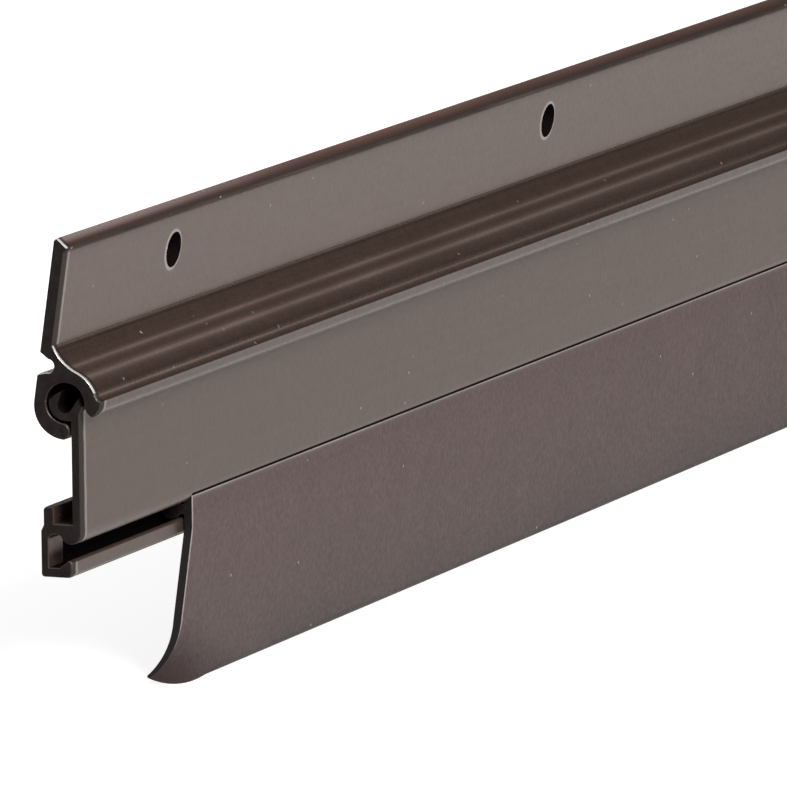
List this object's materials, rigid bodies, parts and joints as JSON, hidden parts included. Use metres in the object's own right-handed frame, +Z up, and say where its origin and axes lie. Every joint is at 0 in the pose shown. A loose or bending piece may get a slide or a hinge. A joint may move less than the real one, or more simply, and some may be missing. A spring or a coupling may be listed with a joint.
{
  "type": "automatic door bottom seal",
  "caption": "Hinged metal seal for the bottom of a door: a rail with a screw flange, a leaf that swings below it, and a vinyl fin that a torsion wire lifts clear.",
  "frame": {"origin": "back of the flange at mid-length, on the line of the screw holes, in the face of the door", "axes": "+X along the door, to the right seen from the front; +Y into the door; +Z up"},
  "size_m": [0.9144, 0.0087, 0.0579],
  "materials": {
    "bronze_anodised": "fine brushed, bronze anodised",
    "brown_vinyl": "matte",
    "spring_steel": "drawn wire"
  },
  "bodies": {
    "rail": {"mounting_rail": "bronze_anodised", "lift_spring": "spring_steel"},
    "leaf": {"swing_leaf": "bronze_anodised", "vinyl_sweep": "brown_vinyl"}
  },
  "joints": [
    {"name": "leaf_swing", "type": "hinge", "parent": "rail", "child": "leaf", "pos_m": [0, -0.00395, -0.01315], "axis": [-1, 0, 0], "range_deg": [0, 28], "stiffness_Nm_per_rad": 0.049, "springref_deg": 46.98, "deforming": ["lift_spring"]}
  ]
}
